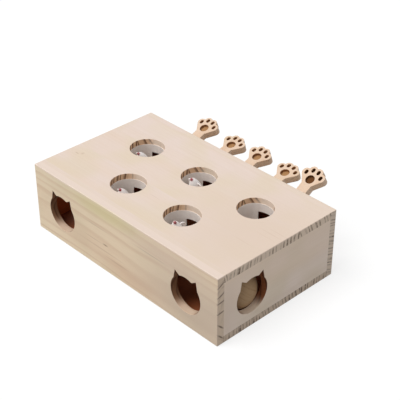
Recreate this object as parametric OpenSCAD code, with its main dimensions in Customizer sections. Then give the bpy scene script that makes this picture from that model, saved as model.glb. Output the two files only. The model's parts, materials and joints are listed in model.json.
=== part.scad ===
// Whack-a-mole cat toy: a pine box with round holes, mice on levers, and cat-head windows.
// Millimetres, Z up. The origin is the middle of the base, X runs along the box and the
// paws stand out at the back (+Y).

/* [Box] */
// Length of the box
box_l = 330; // [310:1:380]
// Depth of the box from front to back
box_d = 196; // [186:1:240]
// Height of the box
box_h = 95; // [92:1:120]
// Thickness of the boards
board_t = 10; // [8:0.5:12]

/* [Cat-head windows] */
// Radius of the round head
head_r = 24.5; // [18:0.5:26]
// Height of the head's middle above the base
head_z = 44; // [40:1:48]
// Height of an ear's tip above the round of the head
ear_rise = 7.5; // [4:0.5:9]
// Angle of the ear's outer root, up from the head's middle
ear_outer_angle = 38; // [30:1:45]
// Angle of the ear's inner root
ear_inner_angle = 66; // [60:1:72]
// Angle of the ear's tip
ear_tip_angle = 57.5; // [50:0.5:62]
// Distance of a front window from the end of the box
front_window_inset = 52; // [45:1:90]
// Distance of an end window from the front of the box
end_window_inset = 55; // [48:1:80]

/* [Top holes] */
// Diameter of the holes in the top
hole_d = 45.4; // [44:0.1:50]
// Distance along the box from one hole to the next
hole_pitch = 48.4; // [46:0.1:54]
// Distance of the back row from the back of the box
back_row_inset = 66.8; // [64:0.1:76]
// Distance between the two rows
row_gap = 73.2; // [60:0.1:80]

/* [Hole liners] */
// Wall of a liner
liner_wall = 0.6; // [0.5:0.1:1.2]
// Height of a liner
liner_h = 37; // [30:0.5:45]
// How far a liner reaches up into its hole
liner_seat = 2.2; // [1.5:0.1:5]
// Height of the closed band above the slot
liner_band = 11.7; // [8:0.1:14]
// Room beside the lever in the liner's slot
liner_slot_room = 5; // [1:0.1:6]
// Clearance of a liner in its hole
liner_fit = 0.05; // [0.02:0.01:0.2]

/* [Levers] */
// Width of a lever
lever_w = 15; // [13:0.5:20]
// Thickness of a lever
lever_t = 10; // [9:0.5:12]
// Distance of the pivot from the inside of the back board
pivot_inset = 10; // [8:0.5:16]
// Depth of the pivot below the top of the box
pivot_drop = 37.5; // [35:0.5:42]
// Diameter of the pivot rod
rod_d = 5; // [4:0.5:6]
// Running clearance of a lever on the rod
rod_run = 0.05; // [0.02:0.01:0.1]
// Clearance of the rod in the end panels
rod_fit = 0.02; // [0.01:0.01:0.1]
// Depth of the rod's hole in an end panel
rod_seat = 6; // [4:0.5:7]
// Room at the end of the rod
rod_end_room = 0.3; // [0.1:0.1:1]
// How far a lever runs past its mouse
lever_toe = 13; // [11:0.5:15]
// Room beside and above a lever in the back board's slot
slot_room = 1; // [0.5:0.1:2]
// Upward tilt of the paw of the first lever
tilt_1 = 21.7; // [-16:0.1:26]
// Upward tilt of the paw of the second lever
tilt_2 = 14.7; // [-6:0.1:18]
// Upward tilt of the paw of the third lever
tilt_3 = 18; // [-16:0.1:26]
// Upward tilt of the paw of the fourth lever
tilt_4 = 14.8; // [-6:0.1:18]
// How far a back lever tips the other way when its paw is pressed
press_tilt = 15; // [10:0.5:15]

/* [Paws] */
// Distance of the pad print from the pivot
pad_reach = 61; // [56:0.5:75]
// Diameter of the pad print
pad_d = 12.2; // [8:0.1:13]
// Where the paw starts to widen, behind the pad print
palm_back = 8; // [7:0.5:14]
// Sideways place of the outer toe prints
outer_toe_x = 11.4; // [10:0.1:13]
// Place of the outer toe prints beyond the pad print
outer_toe_y = 7; // [5:0.1:9]
// Sideways place of the inner toe prints
inner_toe_x = 4.2; // [3.5:0.1:5]
// Place of the inner toe prints beyond the pad print
inner_toe_y = 12.5; // [11:0.1:15]
// Width of a toe print
toe_d = 4.6; // [3:0.1:5]
// How much longer than wide a toe print is
toe_stretch = 1.8; // [0.5:0.1:2]
// Radius of the round of wood about a toe print
toe_lobe_r = 6; // [5.5:0.1:7]
// Depth of the prints
print_depth = 4; // [2:0.5:5]

/* [Mice] */
// Largest diameter of a mouse
mouse_d = 18; // [16:0.5:21]
// Height of a mouse
mouse_h = 40; // [36:0.5:42]
// Height of its widest place above its base
mouse_belly_h = 17; // [12:0.5:20]
// How much narrower its base is, on each side
mouse_base_taper = 2; // [1:0.1:3]
// Visible length of the posts on the back levers
back_post_show = 11.5; // [8:0.5:14]
// Visible length of the posts on the front levers
front_post_show = 23; // [16:0.5:26]
// How much nearer the pivot than its hole a back mouse stands
back_setback = 3.6; // [2:0.1:4]
// How much nearer the pivot than its hole a front mouse stands
front_setback = 1; // [0:0.1:4]
// Diameter of a post
post_d = 8; // [6:0.5:10]
// Depth of a post in its lever
post_in_lever = 6; // [4:0.5:7]
// Depth of a post in its mouse
post_in_mouse = 12; // [8:0.5:16]
// Clearance of a post in its holes
post_fit = 0.05; // [0.02:0.01:0.2]
// Room at the ends of a post
post_end_room = 0.3; // [0.1:0.1:1]
// Diameter of the nose bead
nose_d = 3.6; // [2.5:0.1:4]
// Place of the nose bead ahead of the mouse's middle
nose_ahead = 1.6; // [0.8:0.1:1.8]
// Depth of the nose bead's middle below the mouse's tip
nose_drop = 1.1; // [0.6:0.1:1.6]
// Diameter of an eye bead
eye_d = 2.6; // [2:0.1:3]
// Depth of the eyes below the mouse's tip
eye_drop = 10.5; // [6:0.5:12]
// Turn of each eye from straight ahead
eye_turn = 48; // [35:1:60]
// How far the eye beads' middles lie inside the head
eye_sink = 0.6; // [0.3:0.1:1]
// Diameter of an ear
ear_d = 8; // [6:0.5:11]
// Thickness of an ear
ear_t = 1.6; // [1:0.1:2.5]
// Distance of an ear's middle from the mouse's middle
ear_out = 8; // [7:0.5:8.5]
// Depth of an ear's middle below the mouse's tip
ear_drop = 11; // [9:0.5:16]
// How far behind the mouse's middle the ears stand
ear_behind = 1.5; // [0:0.5:3]
// Turn of the fourth mouse about its post
turn_4 = 60; // [0:5:60]
// Clearance of the ears and beads in their seats
trim_fit = 0.05; // [0.02:0.01:0.2]

/* [Ball] */
// Diameter of the loose ball
ball_d = 54; // [40:0.5:58]
// Gap between the ball and the rim of the right end window, which it lies in
ball_gap = 1; // [0.5:0.1:3]
// How far behind the middle of the end window the ball lies
ball_behind = 2.5; // [0:0.5:8]
// Gap under the ball
ball_float = 0.3; // [0.2:0.1:0.5]

/* [Glue dowels] */
// Diameter of a dowel
dowel_d = 5; // [4:0.5:6]
// Depth of a dowel's hole in the front and back boards
dowel_in_face = 6; // [4:0.5:7]
// Depth of a dowel's hole in the edge of a board
dowel_in_edge = 10; // [8:0.5:14]
// Clearance of a dowel in its holes
dowel_fit = 0.05; // [0.02:0.01:0.2]
// Room at the ends of a dowel
dowel_end_room = 0.5; // [0.2:0.1:1]
// Dowels along each long seam
dowels_per_seam = 4; // [3:1:5]
// Distance of the outer dowels from the ends of a long board
dowel_inset = 25; // [20:1:30]
// Height of the end panels' dowels above and below the floor and the top board
end_dowel_inset = 15; // [10:1:18]

/* [Hidden] */
LEVERS = [1, 2, 3, 4, 5];
middle_lever = LEVERS[2];
last_lever = max(LEVERS);
function numbered(name) = [for (i = LEVERS) str(name, "_", i)];

$fn = 64;
pine = "#e3cfb4";
pine_pale = "#ead9c4";
white = "#f2efec";
felt_white = "#f0e8e4";
steel = "#b9bcc0";
// Extra length of a cut past the face that it opens
past = 1;
// Steps in the curve of a mouse's head
head_steps = 14;
// Steps in the curve of a mouse's lower half
belly_steps = 6;
// Power that shapes the dome of a mouse's head: a half gives a round, and more a slight peak
dome_root = 0.75;

inner_l = box_l - 2 * board_t;
inner_d = box_d - 2 * board_t;
inner_h = box_h - 2 * board_t;
lid_under = box_h - board_t;

// Places of the five holes, counted from the left end
function is_front(i) = i % 2 == 0;
function hole_x(i) = (i - middle_lever) * hole_pitch;
back_row_y = box_d / 2 - back_row_inset;
function hole_y(i) = is_front(i) ? back_row_y - row_gap : back_row_y;

pivot_y = inner_d / 2 - pivot_inset;
pivot_z = box_h - pivot_drop;

liner_r = hole_d / 2 - liner_fit;
liner_bore_r = liner_r - liner_wall;
liner_top = lid_under + liner_seat;
liner_bottom = liner_top - liner_h;
liner_slot_w = lever_w + 2 * liner_slot_room;

// Radius of a mouse at a height above its base
function mouse_r(h) = h > mouse_belly_h ? dome_r((h - mouse_belly_h) / (mouse_h - mouse_belly_h)) : belly_r(h);
function dome_r(share) = mouse_d / 2 * pow(max(0, 1 - share * share), dome_root);
function belly_r(h) = mouse_d / 2 - mouse_base_taper * pow(1 - h / mouse_belly_h, 2);

// Places along and above a lever, from its pivot
function mouse_arm(i) = pivot_y - hole_y(i) - (is_front(i) ? front_setback : back_setback);
function mouse_foot(i) = lever_t / 2 + (is_front(i) ? front_post_show : back_post_show);

// The last lever rests with the nose of its mouse against the front of the liner
nose_room = 0.2;
nose_reach = mouse_arm(last_lever) + nose_ahead;
nose_lift = mouse_foot(last_lever) + mouse_h - nose_drop;
nose_limit = pivot_y - hole_y(last_lever) + liner_bore_r - nose_d / 2 - nose_room;
rest_stop = atan2(nose_lift, nose_reach) - acos(nose_limit / norm([nose_reach, nose_lift]));
tilts = [tilt_1, tilt_2, tilt_3, tilt_4, rest_stop];
function tilt(i) = tilts[i - 1];
turns = [0, 0, 0, turn_4, 0];
function turn(i) = turns[i - 1];

// The back board's slots let every lever swing between the stop and the pressed paw
slot_reach = pivot_inset + board_t;
slot_w = lever_w + 2 * slot_room;
slot_top = pivot_z + slot_reach * tan(rest_stop) + lever_t / 2 / cos(rest_stop) + slot_room;
slot_bottom = pivot_z - slot_reach * tan(press_tilt) - lever_t / 2 / cos(press_tilt) - slot_room;

front_window_x = box_l / 2 - front_window_inset;
end_window_y = end_window_inset - box_d / 2;

ball_r = ball_d / 2;
ball_y = end_window_y + ball_behind;
ball_z = board_t + ball_float + ball_r;
// Radius of the ball where it passes through the inner face of the end panel
ball_pass_r = head_r - norm([ball_behind, head_z - ball_z]) - ball_gap;
ball_x = inner_l / 2 - sqrt(ball_r * ball_r - ball_pass_r * ball_pass_r);

dowel_step = (box_l - 2 * dowel_inset) / (dowels_per_seam - 1);
// Middles of the dowels at the front seam, as [x, z]
lid_dowels = [for (k = [0 : dowels_per_seam - 1]) [k * dowel_step - box_l / 2 + dowel_inset, box_h - board_t / 2]];
floor_dowels = [for (p = lid_dowels) [p.x, board_t / 2]];
end_dowels = [for (side = [-1, 1], z = [board_t + end_dowel_inset, lid_under - end_dowel_inset])
    [side * (box_l - board_t) / 2, z]];

module box_at(size, middle) {
    translate(middle)
        cube(size, center = true);
}

// Outline of a cat's head, its middle at the origin
module cat_head() {
    circle(head_r);
    for (side = [-1, 1])
        polygon([
            [0, 0],
            head_r * [side * cos(ear_outer_angle), sin(ear_outer_angle)],
            (head_r + ear_rise) * [side * cos(ear_tip_angle), sin(ear_tip_angle)],
            head_r * [side * cos(ear_inner_angle), sin(ear_inner_angle)]]);
}

// A cat-head window through a board that faces along Y, its middle at the origin
module window_cut() {
    rotate([90, 0, 0])
        linear_extrude(board_t + 2 * past, center = true)
            cat_head();
}

// Rods along Y through the seams at the front and the back, for dowels and their holes
module seam_rods(places, radius, in_face, in_edge) {
    for (p = places, side = [-1, 1])
        translate([p.x, side * (inner_d / 2 + (in_face - in_edge) / 2), p.y])
            rotate([90, 0, 0])
                cylinder(h = in_face + in_edge, r = radius, center = true);
}

module dowel_holes(places) {
    seam_rods(places, dowel_d / 2 + dowel_fit, dowel_in_face, dowel_in_edge);
}

module top_board() {
    color(pine)
        difference() {
            box_at([box_l, inner_d, board_t], [0, 0, box_h - board_t / 2]);
            for (i = LEVERS)
                translate([hole_x(i), hole_y(i), lid_under - past])
                    cylinder(h = board_t + 2 * past, d = hole_d);
            dowel_holes(lid_dowels);
        }
}

module bottom_board() {
    color(pine)
        difference() {
            box_at([box_l, inner_d, board_t], [0, 0, board_t / 2]);
            dowel_holes(floor_dowels);
        }
}

module side_board(side) {
    box_at([box_l, board_t, box_h], [0, side * (box_d - board_t) / 2, box_h / 2]);
}

module all_dowel_holes() {
    dowel_holes(lid_dowels);
    dowel_holes(floor_dowels);
    dowel_holes(end_dowels);
}

module front_board() {
    color(pine)
        difference() {
            side_board(-1);
            for (side = [-1, 1])
                translate([side * front_window_x, (board_t - box_d) / 2, head_z])
                    window_cut();
            all_dowel_holes();
        }
}

module back_board() {
    color(pine)
        difference() {
            side_board(1);
            for (i = LEVERS)
                box_at(
                    [slot_w, board_t + 2 * past, slot_top - slot_bottom],
                    [hole_x(i), (box_d - board_t) / 2, (slot_top + slot_bottom) / 2]);
            all_dowel_holes();
        }
}

module end_panel(side) {
    color(pine)
        difference() {
            box_at([board_t, inner_d, inner_h], [side * (box_l - board_t) / 2, 0, box_h / 2]);
            translate([side * (box_l - board_t) / 2, end_window_y, head_z])
                rotate([0, 0, 90])
                    window_cut();
            pivot_cylinder(rod_d / 2 + rod_fit, inner_l + 2 * rod_seat);
            dowel_holes(end_dowels);
        }
}

module glue_dowels() {
    color(pine_pale)
        seam_rods(
            concat(lid_dowels, floor_dowels, end_dowels),
            dowel_d / 2, dowel_in_face - dowel_end_room, dowel_in_edge - dowel_end_room);
}

// A cylinder on the pivot's axis
module pivot_cylinder(radius, length) {
    translate([0, pivot_y, pivot_z])
        rotate([0, 90, 0])
            cylinder(h = length, r = radius, center = true);
}

module pivot_rod() {
    color(steel)
        pivot_cylinder(rod_d / 2, inner_l + 2 * (rod_seat - rod_end_room));
}

module ball() {
    color(pine_pale)
        translate([ball_x, ball_y, ball_z])
            sphere(ball_r);
}

module hole_liner(i) {
    color(white)
        translate([hole_x(i), hole_y(i), liner_bottom])
            difference() {
                cylinder(h = liner_h, r = liner_r);
                translate([0, 0, -past])
                    cylinder(h = liner_h + 2 * past, r = liner_bore_r);
                translate([-liner_slot_w / 2, 0, -past])
                    cube([liner_slot_w, liner_r + past, liner_h - liner_band + past]);
            }
}

// Places its children in a lever's frame: the pivot at the origin, the paw along +Y
module on_lever(i) {
    translate([hole_x(i), pivot_y, pivot_z])
        rotate([tilt(i), 0, 0])
            children();
}

// Where a line from a point outside a circle touches it, on the right-hand side
function touch_point(point, middle, radius) =
    let(
        away = middle - point,
        reach = sqrt(away * away - radius * radius),
        turn = atan2(away.y, away.x) - asin(radius / norm(away)))
    point + reach * [cos(turn), sin(turn)];

// Toe prints on the right-hand side, from the pad print
toe_places = [[outer_toe_x, outer_toe_y], [inner_toe_x, inner_toe_y]];

// Outline of a paw, the pad print at the origin
module paw_outline() {
    neck = [lever_w / 2, -palm_back];
    palm = touch_point(neck, toe_places[0], toe_lobe_r);
    polygon([
        [-neck.x, neck.y], neck, palm, toe_places[0], toe_places[1],
        [-toe_places[1].x, toe_places[1].y], [-toe_places[0].x, toe_places[0].y], [-palm.x, palm.y]]);
    for (side = [-1, 1], toe = toe_places)
        translate([side * toe.x, toe.y])
            circle(toe_lobe_r);
}

// Outline of a toe print: a round drawn out along the lever
module toe_print() {
    for (end = [-1, 1])
        translate([0, end * toe_stretch / 2])
            circle(d = toe_d);
    square([toe_d, toe_stretch], center = true);
}

module paw_prints() {
    circle(d = pad_d);
    for (side = [-1, 1], toe = toe_places)
        translate([side * toe.x, toe.y])
            toe_print();
}

module lever(i) {
    front = mouse_arm(i) + lever_toe;
    color(pine)
        on_lever(i)
            difference() {
                translate([0, 0, -lever_t / 2])
                    linear_extrude(lever_t) {
                        translate([-lever_w / 2, -front])
                            square([lever_w, front + pad_reach - palm_back]);
                        translate([0, pad_reach])
                            paw_outline();
                    }
                translate([0, pad_reach, lever_t / 2 - print_depth])
                    linear_extrude(print_depth + past)
                        paw_prints();
                rotate([0, 90, 0])
                    cylinder(h = lever_w + 2 * past, r = rod_d / 2 + rod_run, center = true);
                translate([0, -mouse_arm(i), lever_t / 2 - post_in_lever])
                    cylinder(h = post_in_lever + past, r = post_d / 2 + post_fit);
            }
}

// Places its children in a mouse's frame: its base at the origin, its face along -Y
module on_mouse(i) {
    on_lever(i)
        translate([0, -mouse_arm(i), mouse_foot(i)])
            rotate([0, 0, turn(i)])
                children();
}

module mouse_post(i) {
    show = mouse_foot(i) - lever_t / 2;
    color(pine_pale)
        on_mouse(i)
            translate([0, 0, post_end_room - show - post_in_lever])
                cylinder(h = post_in_lever + show + post_in_mouse - 2 * post_end_room, d = post_d);
}

// A whole mouse turned about its middle, with no hole for its post
module mouse_form() {
    heights = concat(
        [for (k = [0 : belly_steps - 1]) mouse_belly_h * k / belly_steps],
        [for (k = [0 : head_steps - 1]) mouse_belly_h + (mouse_h - mouse_belly_h) * sin(90 * k / head_steps)]);
    rotate_extrude()
        polygon(concat([[0, 0]], [for (h = heights) [mouse_r(h), h]], [[0, mouse_h]]));
}

module mouse_body(i) {
    color(white)
        on_mouse(i)
            difference() {
                mouse_form();
                translate([0, 0, -past])
                    cylinder(h = post_in_mouse + past, r = post_d / 2 + post_fit);
                ear_discs(trim_fit);
                eye_beads(trim_fit);
                nose_bead(trim_fit);
            }
}

// The ears, eyes and nose, grown by a clearance on every side to cut their seats
module ear_discs(grow) {
    for (side = [-1, 1])
        translate([side * ear_out, ear_behind, mouse_h - ear_drop])
            rotate([90, 0, 0])
                cylinder(h = ear_t + 2 * grow, r = ear_d / 2 + grow, center = true);
}

module eye_beads(grow) {
    eye_h = mouse_h - eye_drop;
    for (side = [-1, 1])
        rotate([0, 0, side * eye_turn])
            translate([0, eye_sink - mouse_r(eye_h), eye_h])
                sphere(eye_d / 2 + grow);
}

module nose_bead(grow) {
    translate([0, -nose_ahead, mouse_h - nose_drop])
        sphere(nose_d / 2 + grow);
}

module mouse_ears(i) {
    color(felt_white)
        on_mouse(i)
            ear_discs(0);
}

module mouse_eyes(i) {
    color("black")
        on_mouse(i)
            eye_beads(0);
}

module mouse_nose(i) {
    color("crimson")
        on_mouse(i)
            nose_bead(0);
}

top_board();
bottom_board();
front_board();
back_board();
end_panel(-1);  // left_end_panel
end_panel(1);  // right_end_panel
glue_dowels();
pivot_rod();
ball();
for (i = LEVERS) {
    hole_liner(i);
    lever(i);
    mouse_post(i);
    mouse_body(i);
    mouse_ears(i);
    mouse_eyes(i);
    mouse_nose(i);
}
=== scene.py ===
"""Looks of a whack-a-mole cat toy: a pine box with lined holes, mice on paw levers and a loose ball."""

import json
import logging
import math
from abc import ABC, abstractmethod
from collections.abc import Iterable, Sequence
from dataclasses import dataclass, replace
from enum import Enum, IntEnum

import bmesh
import bpy
from bmesh.types import BMEdge, BMesh, BMFace
from bpy.types import Material, Node, NodeSocket, NodeTree, Object
from mathutils import Euler, Matrix, Vector


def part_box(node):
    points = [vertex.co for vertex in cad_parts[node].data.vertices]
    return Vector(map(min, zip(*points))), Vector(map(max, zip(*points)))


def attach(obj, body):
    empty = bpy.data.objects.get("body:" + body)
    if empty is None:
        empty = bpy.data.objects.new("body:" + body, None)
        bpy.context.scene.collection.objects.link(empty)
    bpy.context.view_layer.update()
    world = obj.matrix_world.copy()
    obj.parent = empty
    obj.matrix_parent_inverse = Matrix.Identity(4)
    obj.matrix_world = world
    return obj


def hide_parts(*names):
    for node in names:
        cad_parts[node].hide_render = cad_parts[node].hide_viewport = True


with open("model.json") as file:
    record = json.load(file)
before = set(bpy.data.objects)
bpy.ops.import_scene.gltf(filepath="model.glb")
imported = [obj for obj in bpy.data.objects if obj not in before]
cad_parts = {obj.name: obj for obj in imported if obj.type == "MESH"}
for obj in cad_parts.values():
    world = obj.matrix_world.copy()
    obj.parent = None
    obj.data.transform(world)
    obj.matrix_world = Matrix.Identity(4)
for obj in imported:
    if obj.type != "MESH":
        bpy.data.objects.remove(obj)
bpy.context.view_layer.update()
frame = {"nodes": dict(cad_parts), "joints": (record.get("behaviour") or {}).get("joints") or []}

log = logging.getLogger("cat_toy")

MM = 0.001
LEVERS = (1, 2, 3, 4, 5)
# Points closer than this are one point in a merged copy of a CAD mesh
SAME_POINT = 0.002 * MM
# Faces that turn less than this are one flat face
FLAT_ANGLE = math.radians(0.6)
# Edges that turn more than this are real edges and not steps of a curve
EDGE_ANGLE = math.radians(32)
# Outer faces of the box in millimetres, and how deep a streak reaches behind two of them
FRONT_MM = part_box("front_board")[0].y / MM
TOP_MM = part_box("top_board")[1].z / MM
END_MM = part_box("right_end_panel")[1].x / MM
FRONT_REACH_MM = 3
TOP_REACH_MM = 4

Colour = tuple[float, float, float, float]
Place = tuple[float, float, float]
Pair = tuple[float, float]


class Body(Enum):
    """Bodies of the frame that do not repeat."""

    BOX = "box"
    BALL = "ball"


class Slot(Enum):
    """Material slots of the record."""

    PINE = "pine"
    LEVER_WOOD = "lever_wood"
    BIRCH = "birch"
    BALL_WOOD = "ball_wood"
    LINER = "liner"
    MOUSE = "mouse_white"
    EAR = "ear_felt"
    EYE = "eye_black"
    NOSE = "nose_red"
    STEEL = "steel"


class Grain(Enum):
    """Which way the fibres of a piece of wood run before the piece is tilted."""

    ALONG_X = "x"
    ALONG_Y = "y"


class Side(Enum):
    """Ends of the box."""

    LEFT = "left"
    RIGHT = "right"


class Piece(Enum):
    """Pieces of a mouse."""

    BODY = "body"
    EARS = "ears"
    EYES = "eyes"
    NOSE = "nose"
    POST = "post"


class Surface(IntEnum):
    """How a face of a board looks, as its material number: sanded outside, in painted shade inside, or
    routed.
    """

    SANDED = 0
    # Inner faces, darkened to a deep red-brown as painted shade
    RAW = 1
    # Walls of cut holes: darker end grain, on the windows darkened further as painted shade
    ROUTED = 2


class Burn(IntEnum):
    """How a face of a lever was left, as its material number."""

    BARE = 0
    PAD = 1
    TOE = 2


def linear(hex_colour: str) -> Colour:
    """Turns an sRGB hex colour into linear light.

    Args:
        hex_colour: Six hex digits after a hash sign.

    Returns:
        Red, green, blue and a full alpha.
    """
    channels = [int(hex_colour[i : i + 2], 16) / 255 for i in (1, 3, 5)]
    light = [c / 12.92 if c <= 0.04045 else ((c + 0.055) / 1.055) ** 2.4 for c in channels]
    return (*light, 1.0)


def grey(value: float) -> Colour:
    """Returns a grey of the given linear value."""
    return (value, value, value, 1.0)


def add_node(
    tree: NodeTree,
    kind: str,
    inputs: dict[str, object] | Sequence[object] = (),
    stops: Sequence[tuple[float, Colour]] = (),
    **settings: object,
) -> Node:
    """Adds a shader node, sets it and links it.

    An input takes a socket, a node for its first output in use, a hex colour or a plain value.

    Args:
        tree: The material's or world's node tree.
        kind: Node type without its ShaderNode prefix.
        inputs: What goes into the node's inputs, by name or in the order of those in use.
        stops: Stops of a colour ramp, as position and colour.
        **settings: Properties of the node.

    Returns:
        The new node.
    """
    node = tree.nodes.new("ShaderNode" + kind)
    for key, value in settings.items():
        setattr(node, key, value)
    if isinstance(inputs, dict):
        pairs = [(node.inputs[name], value) for name, value in inputs.items()]
    else:
        pairs = list(zip([socket for socket in node.inputs if socket.enabled], inputs))
    for socket, value in pairs:
        if isinstance(value, Node):
            value = next(output for output in value.outputs if output.enabled)
        if isinstance(value, NodeSocket):
            tree.links.new(value, socket)
        else:
            socket.default_value = linear(value) if isinstance(value, str) else value
    if stops:
        elements = node.color_ramp.elements
        elements.remove(elements[1])
        elements[0].position, elements[0].color = stops[0]
        for position, colour in stops[1:]:
            elements.new(position).color = colour
    return node


@dataclass(frozen=True)
class Finish(ABC):
    """A finish that becomes a material: its name, and the shader that each kind of finish adds."""

    name: str

    @abstractmethod
    def shade(self, tree: NodeTree) -> Node:
        """Adds the finish's nodes to a tree and returns the shader."""

    def material(self) -> Material:
        """Makes a material of the finish.

        Returns:
            The material.
        """
        material = bpy.data.materials.new(self.name)
        material.use_nodes = True
        tree = material.node_tree
        tree.nodes.clear()
        add_node(tree, "OutputMaterial", {"Surface": self.shade(tree)})
        return material


@dataclass(frozen=True)
class Mark:
    """A streak: its middle and half sizes in millimetres, its depth of tone, colour and slant about X."""

    middle_mm: Place
    half_mm: Place
    tone: float
    colour: str = "#A58768"
    slant: float = 0.0

    @classmethod
    def on_front(cls, at: Pair, half: Pair, *look: float | str) -> "Mark":
        """Returns a streak on the front of the box, placed by its X and Z."""
        return cls((at[0], FRONT_MM, at[1]), (half[0], FRONT_REACH_MM, half[1]), *look)

    @classmethod
    def on_top(cls, at: Pair, half: Pair, *look: float | str) -> "Mark":
        """Returns a streak on the top of the box, placed by its X and Y."""
        return cls((*at, TOP_MM), (*half, TOP_REACH_MM), *look)


@dataclass(frozen=True)
class Wood(Finish):
    """Sanded wood cut from rings about a pith line, planed and sanded, with no varnish.

    The eye sees a matt, pale face with faint lines along the grain, and dark narrow
    latewood stripes wherever the fibres are cut across.
    """

    grain: Grain
    # A point of the tree's pith, and the width of one ring
    pith_mm: Place
    ring_mm: float
    # Along the fibres: the face, the tint that clouds it, and the latewood's lines
    face: str = "#E4D3CA"
    tint: str = "#E3CFBF"
    face_late: str = "#CBAE94"
    # Across the fibres: the earlywood and the latewood
    end: str = "#D8C6B4"
    end_late: str = "#7A6254"
    # How far the piece is tilted about X
    turn: float = 0.0
    # Width of the glued staves, and how far their piths lie apart in height
    stave_mm: float = 2000.0
    lean_mm: float = 0.0
    # Strength of the ring lines and of the fibres on the face
    figure: float = 0.12
    fibre: float = 0.10
    # How far the rings wander from round
    wander_mm: float = 2.4
    # Colour and strength of large patches on the face
    cast: str = "#DCCDAE"
    cast_share: float = 0.4
    marks: tuple[Mark, ...] = ()

    # Fibres are far finer than this: they are drawn coarse enough to show at arm's length
    fibre_mm: float = 1.6
    cloud_mm: float = 42.0
    cast_mm: float = 55.0
    tick_mm: float = 5.0
    wander_span_mm: float = 30.0
    # Scale of the noises along the grain, as a share of their scale across it
    along: float = 1 / 26
    # How fast the ring widths drift, and how many rings they drift by
    drift_pace: float = 0.63
    drift_rings: float = 1.4
    # Depth of tone across one ring: the place from its inside outwards, and the depth there
    ring_tones: tuple[Pair, ...] = ((0.0, 0), (0.42, 0.06), (0.7, 1), (0.86, 1), (0.97, 0))
    ring_least: float = 0.35
    tick_floor: float = 0.15
    tick_top: float = 0.95
    tick_least: float = 0.35
    # The part of each noise, and of how squarely the fibres are cut, that runs from none to all
    cloud_band: Pair = (0.35, 0.65)
    fibre_band: Pair = (0.42, 0.75)
    cast_band: Pair = (0.42, 0.66)
    tick_band: Pair = (0.36, 0.58)
    end_band: Pair = (0.3, 0.85)
    # Share of a streak's reach that has its full tone
    mark_core: float = 0.1
    # Roughness of the earlywood and of the latewood
    roughness: Pair = (0.68, 0.56)

    def raw(self, inside: str) -> "Wood":
        """Returns the same wood for the inner faces, darkened to a deep red-brown as painted shade.

        Args:
            inside: Colour of the inner face, which is painted shade.

        Returns:
            The wood in painted shade.
        """
        return replace(
            self,
            name="raw " + self.name,
            # Painted shade: the face, its tint and its latewood are darkened
            face=inside,
            tint=inside,
            face_late="#5A3018",
            cast_share=0.0,
            marks=(),
        )

    def routed(self, face: str, end: str, end_late: str) -> "Wood":
        """Returns the same wood where a cutter has passed: strong latewood ticks on the walls' end grain, in
        the colours given, which for the windows are darkened as painted shade.

        Args:
            face: Colour of the wall where it runs along the fibres.
            end: Colour of the earlywood where the fibres are cut across; on the windows it is darker wood
                and painted shade.
            end_late: Colour of the latewood there.

        Returns:
            The routed wood.
        """
        return replace(
            self,
            name="routed " + self.name,
            face=face,
            tint=face,
            end=end,
            end_late=end_late,
            tick_floor=0.0,
            tick_least=0.85,
            ring_least=0.75,
            marks=(),
        )

    def rotation(self) -> Euler:
        """Returns the turn that brings the grain onto the pattern's X axis."""
        along_x = self.grain is Grain.ALONG_X
        return Euler((0.0, 0.0, 0.0)) if along_x else Euler((-self.turn, 0.0, -math.pi / 2))

    def grain_direction(self) -> Vector:
        """Returns the direction of the fibres in the toy's frame."""
        return self.rotation().to_matrix().inverted() @ Vector((1, 0, 0))

    def pattern_frame(self, tree: NodeTree, place: NodeSocket) -> Node:
        """Turns object places into millimetres from the pith, with each glued stave shifted by chance.

        Args:
            tree: The material's node tree.
            place: Object coordinates.

        Returns:
            A vector with X along the grain.
        """
        turn = self.rotation()
        pith = turn.to_matrix() @ Vector(self.pith_mm)
        to_pith = {"Vector": place, "Scale": (1 / MM,) * 3, "Rotation": turn, "Location": -pith}
        mapped = add_node(tree, "Mapping", to_pith)
        across = add_node(tree, "SeparateXYZ", (mapped,)).outputs["Y"]
        stave = add_node(tree, "Math", (across, self.stave_mm), operation="DIVIDE")
        number = add_node(tree, "Math", (stave,), operation="FLOOR")
        chance = add_node(tree, "TexWhiteNoise", {"W": number}, noise_dimensions="1D").outputs["Color"]
        centred = add_node(tree, "VectorMath", (chance, (0.5,) * 3), operation="SUBTRACT")
        reach = (2 * self.stave_mm, 2 * self.ring_mm, 2 * self.lean_mm)
        shift = add_node(tree, "VectorMath", (centred, reach), operation="MULTIPLY")
        return add_node(tree, "VectorMath", (mapped, shift), operation="ADD")

    def noise(self, tree: NodeTree, spot: Node, size_mm: float, detail: float) -> Node:
        """Adds a noise drawn out along the grain.

        Args:
            tree: The material's node tree.
            spot: Place in the pattern's frame.
            size_mm: Size of the noise across the grain.
            detail: Octaves of finer noise.

        Returns:
            The noise, about a half.
        """
        drawn = add_node(tree, "VectorMath", (spot, (self.along, 1, 1)), operation="MULTIPLY")
        return add_node(tree, "TexNoise", {"Vector": drawn, "Scale": 1 / size_mm, "Detail": detail})

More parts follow.
